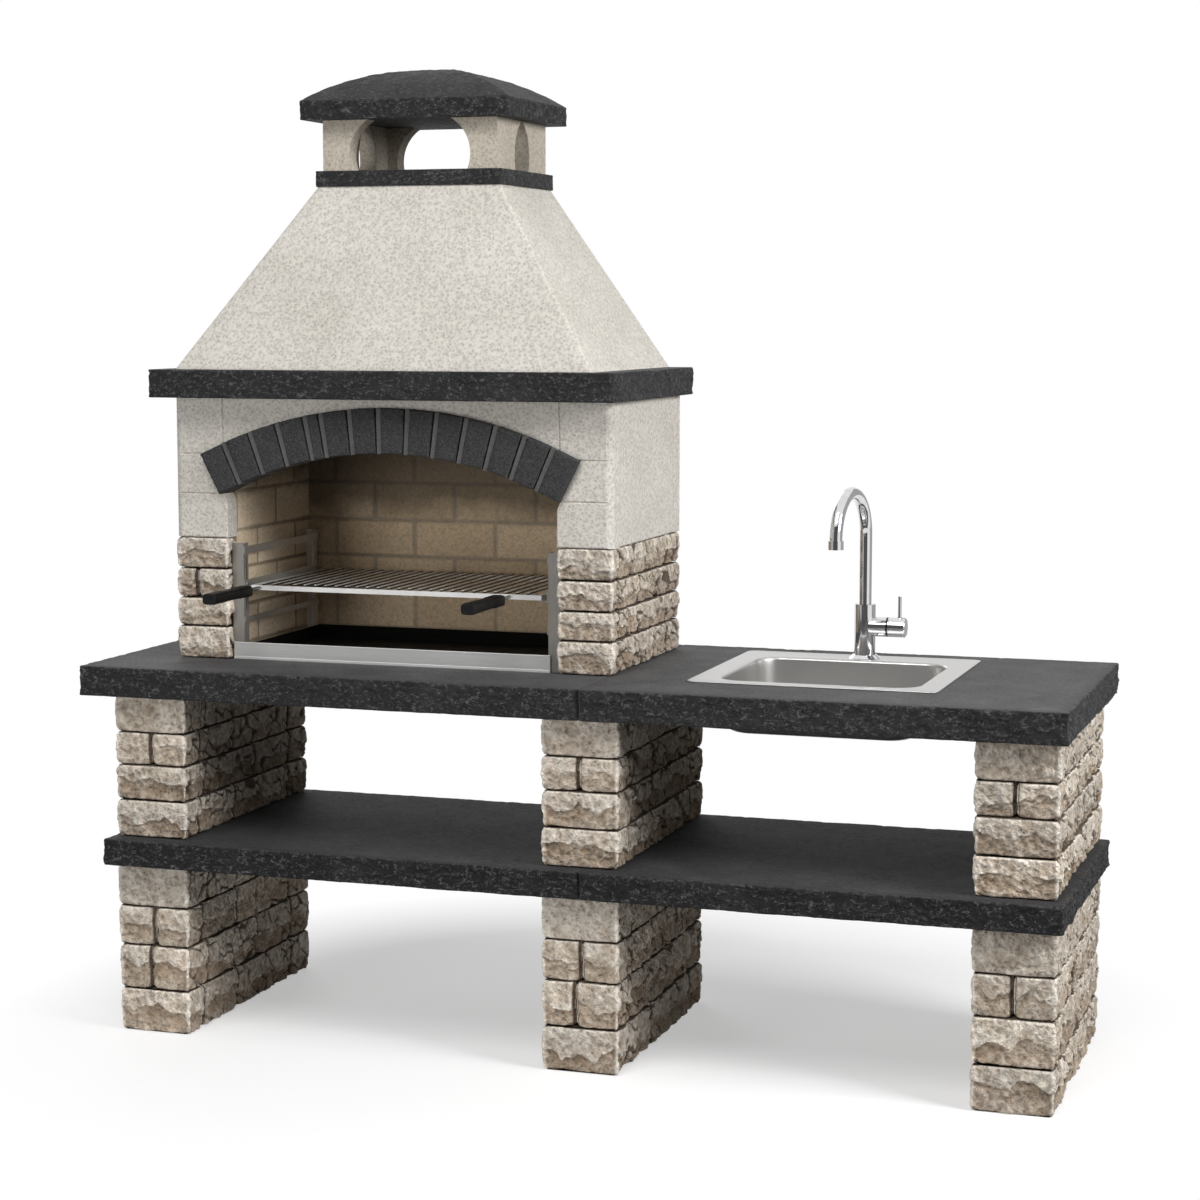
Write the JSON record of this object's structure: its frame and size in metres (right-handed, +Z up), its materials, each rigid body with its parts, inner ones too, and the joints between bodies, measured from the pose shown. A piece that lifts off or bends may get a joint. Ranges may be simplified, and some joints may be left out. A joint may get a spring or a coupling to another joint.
{
  "type": "stone grill station with sink",
  "caption": "Stone outdoor kitchen: hooded charcoal grill with arched mouth, chimney, height-adjustable grate and ember tray, beside an inset steel sink with swivel mixer tap on stone piers.",
  "frame": {"origin": "on the ground under the middle of the counter's plan outline", "axes": "+X along the counter towards the sink end, +Y towards the rear, +Z up"},
  "size_m": [2.23, 0.819, 2.201],
  "materials": {
    "split_stone": "rough split face",
    "dark_slab": "honed top, chiselled edges",
    "light_cast": "fine grit",
    "dark_arch": "fine grain",
    "arch_joint": "mortar",
    "firebrick": "unglazed",
    "stainless": "brushed",
    "black_steel": "satin heat-proof black",
    "black_grip": "matte",
    "chrome": "polished",
    "brass": "turned",
    "white_plastic": "moulded",
    "seal_rubber": "matte"
  },
  "bodies": {
    "station": {"arch_mortar": "arch_joint", "arch_stones": "dark_arch", "back_wall": "light_cast", "chimney_cap": "dark_slab", "chimney_collar": "dark_slab", "chimney_posts": "light_cast", "counter_left": "dark_slab", "counter_right": "dark_slab", "hood": "light_cast", "left_fire_stones": "split_stone", "left_firebrick": "firebrick", "left_front_blocks": "light_cast", "left_pier_lower": "split_stone", "left_pier_upper": "split_stone", "left_posts": "stainless", "left_rails": "stainless", "left_side_panel": "light_cast", "lintel_panel": "light_cast", "mantel_slab": "dark_slab", "middle_pier_lower": "split_stone", "middle_pier_upper": "split_stone", "post_screws": "stainless", "rear_firebrick": "firebrick", "right_fire_stones": "split_stone", "right_firebrick": "firebrick", "right_front_blocks": "light_cast", "right_pier_lower": "split_stone", "right_pier_upper": "split_stone", "right_posts": "stainless", "right_rails": "stainless", "right_side_panel": "light_cast", "shelf_left": "dark_slab", "shelf_right": "dark_slab", "sink_bowl": "stainless", "sink_rim": "stainless", "sink_seal": "seal_rubber", "tap_base": "chrome", "tap_body": "chrome", "tap_cartridge": "white_plastic", "tap_nut": "brass", "tap_shank": "brass", "tap_washer": "seal_rubber", "waste_cup": "stainless", "waste_nut": "white_plastic"},
    "runners": {"left_runner": "stainless", "right_runner": "stainless", "runner_bolts": "stainless", "runner_nuts": "stainless"},
    "grate": {"grate_frame": "stainless", "grate_rods": "stainless", "handle_rods": "stainless", "handle_grips": "black_grip"},
    "tray": {"ember_tray": "black_steel", "tray_fender": "stainless"},
    "spout": {"tap_spout": "chrome", "tap_aerator": "chrome"},
    "valve_cap": {"tap_valve_cap": "chrome", "tap_lever_pin": "chrome"},
    "lever": {"tap_lever": "chrome"},
    "basket": {"waste_basket": "stainless"}
  },
  "joints": [
    {"name": "grill_height", "type": "slide", "parent": "station", "child": "runners", "axis": [0, 0, 1], "range_m": [-0.057, 0.058]},
    {"name": "grate_pull", "type": "slide", "parent": "runners", "child": "grate", "axis": [0, -1, 0], "range_m": [0, 0.3]},
    {"name": "tray_pull", "type": "slide", "parent": "station", "child": "tray", "axis": [0, -1, 0], "range_m": [0, 0.38]},
    {"name": "spout_swivel", "type": "hinge", "parent": "station", "child": "spout", "pos_m": [0.549, 0.28, 0.96], "axis": [0, 0, 1], "continuous": true},
    {"name": "heat_turn", "type": "hinge", "parent": "station", "child": "valve_cap", "pos_m": [0.61, 0.28, 0.9255], "axis": [1, 0, 0], "range_deg": [-45, 45]},
    {"name": "lever_tilt", "type": "hinge", "parent": "valve_cap", "child": "lever", "pos_m": [0.63, 0.28, 0.9255], "axis": [0, 1, 0], "range_deg": [0, 16]},
    {"name": "basket_lift", "type": "slide", "parent": "station", "child": "basket", "axis": [0, 0, 1], "range_m": [0, 0.1]}
  ]
}
